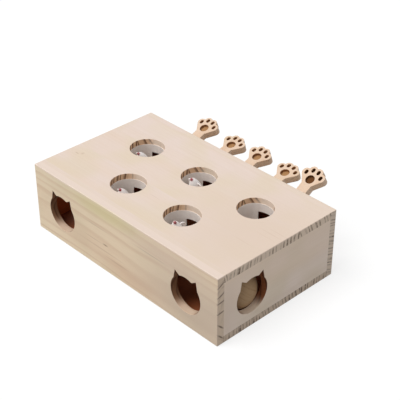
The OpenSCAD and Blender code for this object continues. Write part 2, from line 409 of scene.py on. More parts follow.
    def latewood(self, tree: NodeTree, spot: Node) -> Node:
        """Adds the growth rings: each darkens slowly outwards and stops at once.

        Args:
            tree: The material's node tree.
            spot: Place in the pattern's frame.

        Returns:
            0 in earlywood and up to 1 in latewood.
        """
        flat = add_node(tree, "VectorMath", (spot, (0, 1, 1)), operation="MULTIPLY")
        radius = add_node(tree, "VectorMath", (flat,), operation="LENGTH")
        wander = self.noise(tree, spot, self.wander_span_mm, detail=2)
        bent = add_node(tree, "Math", (wander, 2 * self.wander_mm, radius), operation="MULTIPLY_ADD")
        even = add_node(tree, "Math", (bent, self.ring_mm), operation="DIVIDE")
        drift = add_node(tree, "TexNoise", {"W": even, "Scale": self.drift_pace}, noise_dimensions="1D")
        ring = add_node(tree, "Math", (drift, self.drift_rings, even), operation="MULTIPLY_ADD")
        share = add_node(tree, "Math", (ring,), operation="FRACT")
        number = add_node(tree, "Math", (ring,), operation="FLOOR")
        strength = add_node(tree, "TexWhiteNoise", {"W": number}, noise_dimensions="1D")
        depth = add_node(tree, "MapRange", (strength, 0, 1, self.ring_least))
        stops = [(position, grey(tone)) for position, tone in self.ring_tones]
        line = add_node(tree, "ValToRGB", (share,), stops)
        return add_node(tree, "Math", (line, depth), operation="MULTIPLY")

    def end_grain(self, tree: NodeTree, normal: NodeSocket) -> Node:
        """Adds a mask of the end grain.

        Args:
            tree: The material's node tree.
            normal: The face's direction in the toy's frame.

        Returns:
            1 where a face cuts the fibres across and 0 where it runs along them.
        """
        facing = add_node(tree, "VectorMath", (normal, self.grain_direction()), operation="DOT_PRODUCT")
        size = add_node(tree, "Math", (facing,), operation="ABSOLUTE")
        return add_node(tree, "MapRange", (size, *self.end_band), interpolation_type="SMOOTHSTEP")

    def ticks(self, tree: NodeTree, spot: Node, late: Node) -> Node:
        """Breaks the rings into the uneven ticks that sanded end grain shows.

        Args:
            tree: The material's node tree.
            spot: Place in the pattern's frame.
            late: The latewood.

        Returns:
            0 between the ticks and up to 1 in them.
        """
        narrow = add_node(tree, "MapRange", (late, self.tick_floor, self.tick_top))
        patch = add_node(tree, "TexNoise", {"Vector": spot, "Scale": 1 / self.tick_mm, "Detail": 2})
        kept = add_node(tree, "MapRange", (patch, *self.tick_band, self.tick_least))
        return add_node(tree, "Math", (narrow, kept), operation="MULTIPLY")

    def with_marks(self, tree: NodeTree, place: NodeSocket, colour: Node) -> Node:
        """Draws the streaks over a colour.

        Args:
            tree: The material's node tree.
            place: Object coordinates.
            colour: The colour under the streaks.

        Returns:
            The colour with the streaks.
        """
        for mark in self.marks:
            to_mark = {
                "Vector": place,
                "Location": [MM * middle for middle in mark.middle_mm],
                "Rotation": (mark.slant, 0, 0),
                "Scale": [MM * half for half in mark.half_mm],
            }
            near = add_node(tree, "Mapping", to_mark, vector_type="TEXTURE")
            away = add_node(tree, "VectorMath", (near,), operation="LENGTH")
            fade = (away, 1, self.mark_core, 0, mark.tone)
            share = add_node(tree, "MapRange", fade, interpolation_type="SMOOTHSTEP")
            colour = add_node(tree, "Mix", (share, colour, mark.colour), data_type="RGBA")
        return colour

    def shade(self, tree: NodeTree) -> Node:
        """Shades the wood: a clouded face with faint lines, end grain with dark ticks, and the streaks.

        Args:
            tree: The material's node tree.

        Returns:
            The shader.
        """
        coords = add_node(tree, "TexCoord").outputs
        spot = self.pattern_frame(tree, coords["Object"])
        late = self.latewood(tree, spot)
        end = self.end_grain(tree, coords["Normal"])
        fibre = self.noise(tree, spot, self.fibre_mm, detail=3)
        cloud = self.noise(tree, spot, self.cloud_mm, detail=1)
        cloud_share = add_node(tree, "MapRange", (cloud, *self.cloud_band))
        fibre_share = add_node(tree, "MapRange", (fibre, *self.fibre_band, 0, self.fibre))
        line_share = add_node(tree, "Math", (late, self.figure, fibre_share), operation="MULTIPLY_ADD")
        tinted = add_node(tree, "Mix", (cloud_share, self.face, self.tint), data_type="RGBA")
        patch = add_node(tree, "TexNoise", {"Vector": spot, "Scale": 1 / self.cast_mm, "Detail": 1})
        cast_share = add_node(tree, "MapRange", (patch, *self.cast_band, 0, self.cast_share))
        base = add_node(tree, "Mix", (cast_share, tinted, self.cast), data_type="RGBA")
        face = add_node(tree, "Mix", (line_share, base, self.face_late), data_type="RGBA")
        ticks = self.ticks(tree, spot, late)
        cut = add_node(tree, "Mix", (ticks, self.end, self.end_late), data_type="RGBA")
        bare = add_node(tree, "Mix", (end, face, cut), data_type="RGBA")
        colour = self.with_marks(tree, coords["Object"], bare)
        rough = add_node(tree, "MapRange", (late, 0, 1, *self.roughness))
        bump = add_node(tree, "Bump", {"Height": fibre, "Strength": 0.2, "Distance": 0.12 * MM})
        looks = {"Base Color": colour, "Roughness": rough, "Normal": bump, "Specular IOR Level": 0.3}
        return add_node(tree, "BsdfPrincipled", looks)


@dataclass(frozen=True)
class PrintTone:
    """How dark a print looks: the colours of its floor and of its wall, burnt, with the pads' walls darkened
    further as painted shade.
    """

    floor: str
    wall: str


@dataclass(frozen=True)
class Scorch(Finish):
    """Laser-burnt recess in a wooden paw: matt browns that change with the depth, partly burn and, on the
    pads' walls, painted shade.
    """

    turn: float
    pivot_mm: Place
    top_mm: float
    depth_mm: float
    tone: PrintTone
    rim: str = "#C0946A"
    speck_mm: float = 1.1
    # How far the specks shift the burn up and down the wall
    speck_lift_mm: float = 0.8
    # Where the wall's own colour lies between the floor and the rim
    wall_share: float = 0.4
    roughness: Pair = (0.75, 0.95)

    def shade(self, tree: NodeTree) -> Node:
        """Shades the burnt wood by its height above the print's floor.

        Args:
            tree: The material's node tree.

        Returns:
            The shader.
        """
        place = add_node(tree, "TexCoord").outputs["Object"]
        turn = Euler((-self.turn, 0.0, 0.0))
        pivot = turn.to_matrix() @ Vector(self.pivot_mm)
        to_pivot = {"Vector": place, "Scale": (1 / MM,) * 3, "Rotation": turn, "Location": -pivot}
        spot = add_node(tree, "Mapping", to_pivot)
        height = add_node(tree, "SeparateXYZ", (spot,)).outputs["Z"]
        speck = add_node(tree, "TexNoise", {"Vector": spot, "Scale": 1 / self.speck_mm, "Detail": 2})
        uneven = add_node(tree, "Math", (speck, self.speck_lift_mm, height), operation="MULTIPLY_ADD")
        high = self.top_mm + self.speck_lift_mm / 2
        share = add_node(tree, "MapRange", (uneven, high - self.depth_mm, high))
        colours = (self.tone.floor, self.tone.wall, self.rim)
        stops = list(zip((0.0, self.wall_share, 1.0), map(linear, colours)))
        colour = add_node(tree, "ValToRGB", (share,), stops)
        rough = add_node(tree, "MapRange", (speck, 0, 1, *self.roughness))
        bump = add_node(tree, "Bump", {"Height": speck, "Strength": 0.35, "Distance": 0.2 * MM})
        looks = {"Base Color": colour, "Roughness": rough, "Normal": bump, "Specular IOR Level": 0.15}
        return add_node(tree, "BsdfPrincipled", looks)


@dataclass(frozen=True)
class Moulded(Finish):
    """Moulded matt plastic: an even colour with faint cloudy flow and a fine orange-peel skin."""

    base: str
    cloud: str
    roughness: Pair
    cloud_mm: float = 14.0
    cloud_band: Pair = (0.35, 0.65)
    peel_mm: float = 0.9
    blush: str = ""

    def shade(self, tree: NodeTree) -> Node:
        """Shades the plastic, with a blush where its piece has one painted on.

        Args:
            tree: The material's node tree.

        Returns:
            The shader.
        """
        place = add_node(tree, "TexCoord").outputs["Object"]
        flow = add_node(tree, "TexNoise", {"Vector": place, "Scale": 1 / (self.cloud_mm * MM), "Detail": 3})
        peel = add_node(tree, "TexNoise", {"Vector": place, "Scale": 1 / (self.peel_mm * MM)})
        share = add_node(tree, "MapRange", (flow, *self.cloud_band))
        colour = add_node(tree, "Mix", (share, self.base, self.cloud), data_type="RGBA")
        if self.blush:
            painted = add_node(tree, "Attribute", attribute_name="blush").outputs["Fac"]
            colour = add_node(tree, "Mix", (painted, colour, self.blush), data_type="RGBA")
        rough = add_node(tree, "MapRange", (flow, 0, 1, *self.roughness))
        bump = add_node(tree, "Bump", {"Height": peel, "Strength": 0.12, "Distance": 0.05 * MM})
        return add_node(tree, "BsdfPrincipled", {"Base Color": colour, "Roughness": rough, "Normal": bump})


@dataclass(frozen=True)
class Felt(Finish):
    """Pressed wool felt: matt and fuzzy, with short fibres lying every way."""

    base: str
    fleck: str
    fibre_mm: float = 0.7
    fleck_band: Pair = (0.4, 0.7)

    def shade(self, tree: NodeTree) -> Node:
        """Shades the felt.

        Args:
            tree: The material's node tree.

        Returns:
            The shader.
        """
        place = add_node(tree, "TexCoord").outputs["Object"]
        fuzz = {"Vector": place, "Scale": 1 / (self.fibre_mm * MM), "Detail": 4, "Distortion": 1.5}
        fibres = add_node(tree, "TexNoise", fuzz)
        share = add_node(tree, "MapRange", (fibres, *self.fleck_band))
        colour = add_node(tree, "Mix", (share, self.base, self.fleck), data_type="RGBA")
        bump = add_node(tree, "Bump", {"Height": fibres, "Strength": 0.5, "Distance": 0.2 * MM})
        looks = {"Base Color": colour, "Normal": bump, "Roughness": 0.95, "Sheen Weight": 0.3}
        return add_node(tree, "BsdfPrincipled", looks)


@dataclass(frozen=True)
class Bead(Finish):
    """Lacquered bead: a deep colour under a clear gloss, so it shows one small bright glint."""

    deep: str
    light: str
    swirl_mm: float = 1.5
    roughness: Pair = (0.22, 0.3)

    def shade(self, tree: NodeTree) -> Node:
        """Shades the lacquer.

        Args:
            tree: The material's node tree.

        Returns:
            The shader.
        """
        place = add_node(tree, "TexCoord").outputs["Object"]
        swirl = add_node(tree, "TexNoise", {"Vector": place, "Scale": 1 / (self.swirl_mm * MM)})
        colour = add_node(tree, "Mix", (swirl, self.deep, self.light), data_type="RGBA")
        rough = add_node(tree, "MapRange", (swirl, 0, 1, *self.roughness))
        looks = {"Base Color": colour, "Roughness": rough, "Coat Weight": 0.8, "Coat Roughness": 0.06}
        return add_node(tree, "BsdfPrincipled", looks)


@dataclass(frozen=True)
class DrawnSteel(Finish):
    """Bright drawn steel bar: grey metal with fine lines along its length."""

    name: str = "drawn steel bar"
    light: str = "#BFC1C4"
    dark: str = "#8E9196"
    line_mm: float = 0.5
    # Scale of the lines along the bar, as a share of their scale across it
    along: float = 0.02
    roughness: Pair = (0.42, 0.26)

    def shade(self, tree: NodeTree) -> Node:
        """Shades the steel.

        Args:
            tree: The material's node tree.

        Returns:
            The shader.
        """
        place = add_node(tree, "TexCoord").outputs["Object"]
        drawn = add_node(tree, "VectorMath", (place, (self.along, 1, 1)), operation="MULTIPLY")
        lines = add_node(tree, "TexNoise", {"Vector": drawn, "Scale": 1 / (self.line_mm * MM), "Detail": 3})
        colour = add_node(tree, "Mix", (lines, self.dark, self.light), data_type="RGBA")
        rough = add_node(tree, "MapRange", (lines, 0, 1, *self.roughness))
        bump = add_node(tree, "Bump", {"Height": lines, "Strength": 0.15, "Distance": 0.03 * MM})
        looks = {"Base Color": colour, "Roughness": rough, "Normal": bump, "Metallic": 1.0}
        return add_node(tree, "BsdfPrincipled", looks)


def seen_directly(tree: NodeTree) -> Node:
    """Adds a test of how a surface is seen.

    Args:
        tree: The material's or world's node tree.

    Returns:
        1 for camera, glossy and transmission rays and 0 for the rest.
    """
    path = add_node(tree, "LightPath").outputs
    two = add_node(tree, "Math", (path["Is Camera Ray"], path["Is Glossy Ray"]), operation="MAXIMUM")
    return add_node(tree, "Math", (two, path["Is Transmission Ray"]), operation="MAXIMUM")


@dataclass(frozen=True)
class Paper(Finish):
    """Paper floor: it looks white, keeps a faint shadow and throws back less light than it shows."""

    name: str = "pale paper floor"
    bounce: float = 0.45
    shadow: float = 0.28
    glow: float = 0.74

    def shade(self, tree: NodeTree) -> Node:
        """Shades the paper, one way for the eye and another for the light it throws back.

        Args:
            tree: The material's node tree.

        Returns:
            The shader.
        """
        bounce = add_node(tree, "BsdfDiffuse", {"Color": grey(self.bounce)})
        shadow = add_node(tree, "BsdfDiffuse", {"Color": grey(self.shadow)})
        glow = add_node(tree, "Emission", {"Color": grey(1), "Strength": self.glow})
        seen = add_node(tree, "AddShader", (shadow, glow))
        return add_node(tree, "MixShader", (seen_directly(tree), bounce, seen))


def merged_copy(node: str) -> BMesh:
    """Copies a CAD node's mesh, with its loose triangles joined into whole faces.

    Args:
        node: Name of the CAD node.

    Returns:
        A bmesh that the caller owns.
    """
    shape = bmesh.new()
    shape.from_mesh(frame["nodes"][node].data)
    bmesh.ops.remove_doubles(shape, verts=shape.verts, dist=SAME_POINT)
    bmesh.ops.dissolve_limit(shape, angle_limit=FLAT_ANGLE, verts=shape.verts, edges=shape.edges)
    return shape


def real_edges(shape: BMesh) -> list[BMEdge]:
    """Returns the edges where two faces meet at a real angle."""
    return [e for e in shape.edges if e.is_manifold and e.calc_face_angle(0.0) > EDGE_ANGLE]


def ease(shape: BMesh, edges: Iterable[BMEdge], width: float, segments: int = 2) -> None:
    """Rounds edges over, as sandpaper does.

    Args:
        shape: The bmesh to change.
        edges: Edges to round.
        width: How far the round reaches from the edge.
        segments: Steps in the round.
    """
    bmesh.ops.bevel(
        shape,
        geom=list(edges),
        offset=width,
        offset_type="OFFSET",
        segments=segments,
        profile=0.5,
        affect="EDGES",
        clamp_overlap=True,
        material=-1,
    )


def spun(outline: Sequence[Pair], turns: int) -> BMesh:
    """Spins an outline about Z into a closed solid.

    Args:
        outline: Radius and height of each point, from the bottom to the top.
        turns: Steps in the full turn.

    Returns:
        A bmesh that the caller owns.
    """
    shape = bmesh.new()
    verts = [shape.verts.new((radius, 0, height)) for radius, height in outline]
    edges = [shape.edges.new(pair) for pair in zip(verts, verts[1:])]
    bmesh.ops.spin(
        shape,
        geom=verts + edges,
        cent=(0, 0, 0),
        axis=(0, 0, 1),
        angle=2 * math.pi,
        steps=turns,
        use_merge=True,
    )
    bmesh.ops.remove_doubles(shape, verts=shape.verts, dist=SAME_POINT)
    bmesh.ops.recalc_face_normals(shape, faces=shape.faces)
    return shape


def corners(points: Iterable[Vector]) -> tuple[Vector, Vector]:
    """Returns the lowest and highest corners of the box round some points."""
    columns = list(zip(*points))
    return Vector(map(min, columns)), Vector(map(max, columns))


def put_in_scene(name: str, data: bpy.types.ID) -> Object:
    """Makes an object and puts it in the scene.

    Args:
        name: Name of the object.
        data: Its mesh, camera or lamp.

    Returns:
        The object.
    """
    made = bpy.data.objects.new(name, data)
    bpy.context.scene.collection.objects.link(made)
    return made


def settle(
    shape: BMesh, name: str, materials: Iterable[Material], body: str, node: str
) -> None:
    """Turns a finished bmesh into a piece that stands for a CAD node.

    Args:
        shape: The bmesh, in the toy's frame; it is freed.
        name: Name of the piece.
        materials: Its materials, in the order of the faces' material numbers.
        body: The body it rides on.
        node: The CAD node it stands for.
    """
    mesh = bpy.data.meshes.new(name)
    shape.to_mesh(mesh)
    shape.free()
    mesh.shade_smooth()
    mesh.set_sharp_from_angle(angle=EDGE_ANGLE)
    for material in materials:
        mesh.materials.append(material)
    piece = put_in_scene(name, mesh)
    weighted = piece.modifiers.new("even shading", "WEIGHTED_NORMAL")
    weighted.keep_sharp = True
    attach(piece, body)
    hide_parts(node)
    log.info("%s stands for %s with %d faces", name, node, len(mesh.polygons))


def dress_node(node: str, material: Material) -> None:
    """Gives a CAD node that stays in view a material.

    Args:
        node: Name of the CAD node.
        material: The material.
    """
    mesh = frame["nodes"][node].data
    mesh.materials.clear()
    mesh.materials.append(material)
    log.info("%s keeps its CAD mesh", node)


@dataclass(frozen=True)
class Board:
    """One board of the box: its CAD node, its wood, its inner face and the walls of its holes."""

    node: str
    wood: Wood
    # Colour of the inner faces: a deep red-brown that is painted shade
    inside: str = "#D6723E"
    # Walls of cut holes: their face, and their end grain with its latewood, which these defaults darken as
    # painted shade for the windows
    wall_face: str = "#DEC2AA"
    wall: str = "#8A6448"
    wall_late: str = "#5A3A26"


def end_panel(side: Side, pith_mm: Place) -> Board:
    """Describes an end panel, which is flat-sawn with its grain level.

    Args:
        side: The end of the box that it closes.
        pith_mm: A point of the tree's pith, in millimetres.

    Returns:
        The panel.
    """
    outer_mm = math.copysign(END_MM, pith_mm[0])
    wood = Wood(
        f"flat-sawn pine, {side.value} end",
        Grain.ALONG_Y,
        pith_mm,
        ring_mm=9,
        face="#F0DFD2",
        tint="#EFD9C4",
        marks=(Mark((outer_mm, -92, 40), (4, 38, 60), 0.85, "#DFCCBB"),),
    )
    node = f"{side.value}_end_panel"
    # The window walls' end grain is darker wood, darkened further to a deep brown as painted shade
    return Board(node, wood, wall_face="#F2DECD", wall="#86502F", wall_late="#542C16")


# Dark ticks on the front board's right end: how high each lies in millimetres, and its slant in degrees
END_TICKS = ((84, 30), (70, 23), (60.4, 8), (46, 8), (26, -45), (11.5, -45))


@dataclass
class Carcass:
    """The pine box: six boards with sanded outer arrises and hole rims, tight at their seams."""

    arris: float = 0.9 * MM
    rim: float = 0.45 * MM
    touch: float = 0.01 * MM
    boards: tuple[Board, ...] = (
        Board(
            "top_board",
            Wood(
                "quarter-sawn pine, top",
                Grain.ALONG_X,
                pith_mm=(0, -430, 60),
                ring_mm=6,
                stave_mm=58,
                lean_mm=170,
                end="#E0CCB8",
                end_late="#66523F",
                figure=0.08,
                tick_floor=0.05,
                ring_least=0.5,
                marks=(
                    # A broad duller zone, then small streaks
                    Mark.on_top((140, -10), (150, 130), 0.85, "#DDC9B8"),
                    Mark.on_top((-149, -42.4), (6, 1.7), 0.35),
                    Mark.on_top((-143, -38), (3, 4), 0.25),
                    Mark.on_top((148, 5), (26, 0.9), 0.35, "#C9AE98"),
                    Mark.on_top((152, 12), (24, 0.8), 0.3, "#C9AE98"),
                    Mark.on_top((146, -3), (22, 0.8), 0.3, "#CDB49E"),
                    Mark.on_top((134, -28), (22, 0.9), 0.3, "#CDB49E"),
                    Mark.on_top((-4, -38.6), (14, 0.7), 0.35, "#BFA792"),
                ),
            ),
            # Painted shade on the inner faces
            inside="#A05A30",
            wall_face="#F1DDCB",
            wall="#E2BC98",
            wall_late="#5A3019",
        ),
        Board(
            "bottom_board",
            Wood(
                "quarter-sawn pine, floor",
                Grain.ALONG_X,
                pith_mm=(0, -380, -60),
                ring_mm=5.6,
                stave_mm=70,
                lean_mm=150,
                end="#D2BEAA",
                end_late="#5F4C3F",
                tick_floor=0.05,
                ring_least=0.5,
            ),
            # Painted shade on the inner faces
            inside="#A05A36",
        ),
        Board(
            "front_board",
            Wood(
                "flat-sawn pine, front",
                Grain.ALONG_X,
                pith_mm=(0, -70, 34),
                ring_mm=8.5,
                face="#F2DFC2",
                tint="#EED7BA",
                face_late="#C8A282",
                end="#D6C1AB",
                end_late="#BCA694",
                wander_mm=9,
                figure=0.36,
                along=1 / 9,
                marks=(
                    # The upper edge, broad zones of the face, ticks on the right end and narrow streaks
                    Mark((0, -93, 95.5), (2000, 40, 3), 0.95, "#E4D2C6"),
                    Mark.on_front((-27, 86), (95, 17), 0.6, "#D9CD98"),
                    Mark.on_front((-75, 28), (110, 26), 0.35, "#DDBBA0"),
                    Mark.on_front((120, 18), (60, 24), 0.3, "#C9B594"),
                    Mark.on_front((24, 14), (90, 20), 0.5, "#D6B498"),
                    Mark.on_front((85, 78), (110, 24), 0.6, "#DFC6B2"),
                    Mark.on_front((150, 30), (170, 80), 0.75, "#CAB7A5"),
                    *(
                        Mark((END_MM, -92.8, height), (3, 9.6, 1.7), 0.88, "#5E4C42", math.radians(slant))
                        for height, slant in END_TICKS
                    ),
                    Mark.on_front((-46, 60), (36, 1.2), 0.4, "#B3A088"),
                    Mark.on_front((55, 69), (40, 1.3), 0.4, "#AC9A86"),
                    Mark.on_front((-36, 30), (60, 1.6), 0.35, "#B8977A"),
                    Mark.on_front((-6, 23), (30, 2.2), 0.4, "#B8977A"),
                    Mark.on_front((-52, 38.4), (24, 0.9), 0.4),
                    Mark.on_front((-28.8, 39.5), (7, 1.4), 0.8, "#86664C"),
                ),
            ),
        ),
        Board(
            "back_board",
            Wood(
                "quarter-sawn pine, back",
                Grain.ALONG_X,
                pith_mm=(0, 20, -180),
                ring_mm=5,
                end_late="#574539",
                tick_floor=0.05,
            ),
            # Painted shade on the inner faces
            inside="#8A4A2A",
        ),
        end_panel(Side.LEFT, pith_mm=(-230, 0, 30)),
        end_panel(Side.RIGHT, pith_mm=(240, 0, 60)),
    )
    dowel_wood: Wood = Wood(
        "turned birch dowel",
        Grain.ALONG_Y,
        pith_mm=(0, 0, 45),
        ring_mm=3,
        face="#E3CBA8",
        tint="#DDC197",
        figure=0.15,
    )

    def sides(self, element: BMEdge | BMFace, low: Vector, high: Vector) -> set[tuple[int, int]]:
        """Finds the sides of a block that an edge or a face lies on.

        Args:
            element: The edge or the face.
            low: The block's lowest corner.
            high: The block's highest corner.

        Returns:
            Each side as an axis number and 0 for its low or 1 for its high end.
        """
        found = set()
        for axis in range(3):
            for end, corner in enumerate((low, high)):
                if all(abs(v.co[axis] - corner[axis]) < self.touch for v in element.verts):
                    found.add((axis, end))
        return found

    def box_corners(self) -> tuple[Vector, Vector]:
        """Returns the lowest and highest corners of the box without its levers."""
        return corners(corner for board in self.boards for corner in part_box(board.node))

    def inner_side(self, low: Vector, high: Vector) -> tuple[int, int]:
        """Finds the side of a board that faces into the box.

        Args:
            low: The board's lowest corner.
            high: The board's highest corner.

        Returns:
            The board's thin axis, and 0 for its low or 1 for its high end.
        """
        box_low, box_high = self.box_corners()
        axis = min(range(3), key=lambda k: high[k] - low[k])
        return axis, int(low[axis] + high[axis] < box_low[axis] + box_high[axis])

    def build_board(self, board: Board) -> None:
        """Builds one board with its outer arrises and the rims of its holes eased.

        Args:
            board: The board to build.
        """
        shape = merged_copy(board.node)
        box_low, box_high = self.box_corners()
        low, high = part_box(board.node)
        inner = self.inner_side(low, high)
        for face in shape.faces:
            sides = self.sides(face, low, high)
            # Inner faces take the wood in painted shade
            left = Surface.RAW if inner in sides else Surface.SANDED
            face.material_index = left if sides else Surface.ROUTED
        rims = []
        for edge in real_edges(shape):
            on_box = self.sides(edge, box_low, box_high)
            if len(on_box) == 1 and self.sides(edge, low, high) == on_box:
                rims.append(edge)
        ease(shape, rims, self.rim)
        arrises = [e for e in real_edges(shape) if len(self.sides(e, box_low, box_high)) == 2]
        ease(shape, arrises, self.arris, segments=3)
        wood = board.wood
        # The sanded wood, the same wood in painted shade for the inner faces, and the routed walls
        woods = (wood, wood.raw(board.inside), wood.routed(board.wall_face, board.wall, board.wall_late))
        materials = [finish.material() for finish in woods]
        settle(shape, "sanded_" + board.node, materials, Body.BOX.value, board.node)

    def build(self) -> None:
        """Builds the boards and dresses the dowels inside their seams."""
        for board in self.boards:
            self.build_board(board)
        dress_node("glue_dowels", self.dowel_wood.material())


@dataclass
class PivotRod:
    """The steel rod that the levers turn on, with its ends broken."""

    chamfer: float = 0.4 * MM
    steel: DrawnSteel = DrawnSteel()

    def build(self) -> None:
        """Builds the rod."""
        shape = merged_copy("pivot_rod")
        ease(shape, real_edges(shape), self.chamfer)
        settle(shape, "drawn_pivot_rod", [self.steel.material()], Body.BOX.value, "pivot_rod")


@dataclass
class HoleLiners:
    """The slotted tubes pushed up into the holes."""

    lip: float = 0.3 * MM
    plastic: Moulded = Moulded("moulded polypropylene liner", "#F3EBE5", "#E9DFD8", (0.38, 0.5))

    def build(self) -> None:
        """Builds the five liners with their edges broken."""
        material = self.plastic.material()
        for number in LEVERS:
            node = f"hole_liner_{number}"
            shape = merged_copy(node)
            ease(shape, real_edges(shape), self.lip)
            settle(shape, f"moulded_liner_{number}", [material], Body.BOX.value, node)


class PieceFrame(ABC):
    """A frame of a piece's own inside the toy's frame."""

    @abstractmethod
    def to_toy(self) -> Matrix:
        """Returns the transform from this frame to the toy's."""

    def box(self, node: str) -> tuple[Vector, Vector]:
        """Returns the lowest and highest corners of a CAD node's box in this frame."""
        from_toy = self.to_toy().inverted()
        return corners(from_toy @ v.co for v in frame["nodes"][node].data.vertices)


@dataclass(frozen=True)
class LeverFrame(PieceFrame):
    """A lever's own frame at rest: its pivot at the origin, its paw along +Y and its face up."""

    pivot: Vector
    tilt: float

    def to_toy(self) -> Matrix:
        """Returns the transform from the lever's frame to the toy's."""
        return Matrix.Translation(self.pivot) @ Matrix.Rotation(self.tilt, 4, "X")


@dataclass(frozen=True)
class MouseFrame(PieceFrame):
    """A mouse's own frame: the middle of its base at the origin, its tip along +Z and its face along -Y."""

    lever: LeverFrame
    base: Vector
    turn: float

    def to_toy(self) -> Matrix:
        """Returns the transform from the mouse's frame to the toy's."""
        return self.lever.to_toy() @ Matrix.Translation(self.base) @ Matrix.Rotation(self.turn, 4, "Z")


def mouse_node(piece: Piece, number: int) -> str:
    """Returns the CAD node's name for one piece of a mouse."""
    return f"mouse_{piece.value}_{number}"


def lever_frame(number: int) -> LeverFrame:
    """Finds a lever's frame from its joint and its largest upward face.

    Args:
        number: The lever's number, from the left.

    Returns:
        The lever's frame.
    """
    node = f"lever_{number}"
    joint = next(joint for joint in frame["joints"] if joint["child"] == node)
    shape = merged_copy(node)
    top = max((f for f in shape.faces if f.normal.z > 0), key=BMFace.calc_area)
    tilt = math.atan2(-top.normal.y, top.normal.z)
    shape.free()
    return LeverFrame(Vector(joint["pos_m"]), tilt)


def mouse_frame(number: int, lever: LeverFrame) -> MouseFrame:
    """Finds a mouse's frame from its post and its nose.

    Args:
        number: The lever's number, from the left.
        lever: The lever's frame.

    Returns:
        The mouse's frame.
    """
    post_low, post_high = lever.box(mouse_node(Piece.POST, number))
    nose_low, nose_high = lever.box(mouse_node(Piece.NOSE, number))
    base = (post_low + post_high) / 2
    ahead = (nose_low + nose_high) / 2 - base
    base.z = lever.box(mouse_node(Piece.BODY, number))[0].z
    return MouseFrame(lever, base, math.atan2(ahead.x, -ahead.y))


@dataclass
class PawLever:
    """One wooden lever that ends in a paw, with rounded edges and burnt prints."""

    number: int
    place: LeverFrame
    pad: PrintTone
    toe: PrintTone
    round_over: float = 1.8 * MM
    print_rim: float = 0.3 * MM
    print_depth: float = 4 * MM
    slack: float = 0.05 * MM
    post_room: float = 1 * MM
    ring_mm: float = 6.0
    pith_below_mm: float = 70.0
    pith_step_mm: float = 13.0

    def node(self) -> str:
        """Returns the lever's CAD node, which has the name of its body."""
        return f"lever_{self.number}"

    def places(self, element: BMEdge | BMFace) -> list[Vector]:
        """Returns the corners of an edge or a face in the lever's frame."""
        to_lever = self.place.to_toy().inverted()
        return [to_lever @ v.co for v in element.verts]

    def lies_at(self, element: BMEdge | BMFace, height: float) -> bool:
        """Tells whether an edge or a face lies flat at a height in the lever's frame."""
        return all(abs(p.z - height) < self.slack for p in self.places(element))

    def is_burnt(self, edge: BMEdge) -> bool:
        """Tells whether an edge has a burnt face beside it."""
        return any(f.material_index != Burn.BARE for f in edge.link_faces)

    def is_outer(self, edge: BMEdge) -> bool:
        """Tells whether an edge is on the lever's outside, and not on its bore or its post's hole.

        Args:
            edge: An edge of the lever.

        Returns:
            Whether it is on the outside.
        """
        low, high = self.place.box(self.node())
        ends = self.places(edge)
        flat = self.lies_at(edge, low.z) or self.lies_at(edge, high.z)
        upright = abs(ends[0].z - ends[1].z) > (high.z - low.z) / 2
        post_low, post_high = self.place.box(mouse_node(Piece.POST, self.number))
        middle = (post_low + post_high) / 2
        reach = (post_high.x - post_low.x) / 2 + self.post_room
        near_post = all((p.xy - middle.xy).length < reach for p in ends)
        return (flat or upright) and not near_post

    def wood(self) -> Wood:
        """Makes the lever's own wood, cut from its own part of the tree.

        Returns:
            The wood.
        """
        pivot = self.place.pivot / MM
        # Neighbours are cut two steps apart, so that their figures differ
        side = self.pith_step_mm * (self.number * 2 % len(LEVERS) - 2)
        return Wood(
            f"sanded pine lever {self.number}",
            Grain.ALONG_Y,
            pith_mm=(pivot.x + side, pivot.y, pivot.z - self.pith_below_mm),
            ring_mm=self.ring_mm,
            turn=self.place.tilt,
            face="#E3C9B2",
            tint="#DFC1A4",
            face_late="#CBA17C",
            end="#E2C4A6",
            end_late="#C69E7A",
            figure=0.3,
        )

    def scorch(self, kind: Burn, tone: PrintTone, top: float) -> Scorch:
        """Makes the burnt finish of a print, measured from the lever's upper face.

        Args:
            kind: The print's kind.
            tone: The print's colours.
            top: Height of the lever's upper face in its own frame.

        Returns:
            The finish.
        """
        return Scorch(
            f"laser-burnt pine {kind.name.lower()} print {self.number}",
            turn=self.place.tilt,
            pivot_mm=tuple(self.place.pivot / MM),
            top_mm=top / MM,
            depth_mm=self.print_depth / MM,
            tone=tone,
        )

    def burn_prints(self, shape: BMesh, top: float) -> None:
        """Marks the faces of the pad's print and of the toes' prints as burnt.

        Args:
            shape: The lever's bmesh.
            top: Height of the lever's upper face in its own frame.
        """
        bottom = top - self.print_depth
        floors = [f for f in shape.faces if self.lies_at(f, bottom)]
        pad_verts = set(max(floors, key=BMFace.calc_area).verts)
        for face in shape.faces:
            lowest = min(p.z for p in self.places(face))
            if bottom - self.slack < lowest < top - self.slack:
                face.material_index = Burn.PAD if pad_verts.intersection(face.verts) else Burn.TOE

    def build(self) -> None:
        """Builds the lever: prints marked as burnt, their rims broken, and the rest rounded over."""
        node = self.node()
        shape = merged_copy(node)
        top = self.place.box(node)[1].z
        self.burn_prints(shape, top)
        rims = [e for e in real_edges(shape) if self.lies_at(e, top) and self.is_burnt(e)]
        ease(shape, rims, self.print_rim)
        outer = [e for e in real_edges(shape) if not self.is_burnt(e) and self.is_outer(e)]
        ease(shape, outer, self.round_over, segments=4)
        pad = self.scorch(Burn.PAD, self.pad, top)
        toe = self.scorch(Burn.TOE, self.toe, top)
        materials = [finish.material() for finish in (self.wood(), pad, toe)]
        settle(shape, f"paw_lever_{self.number}", materials, node, node)


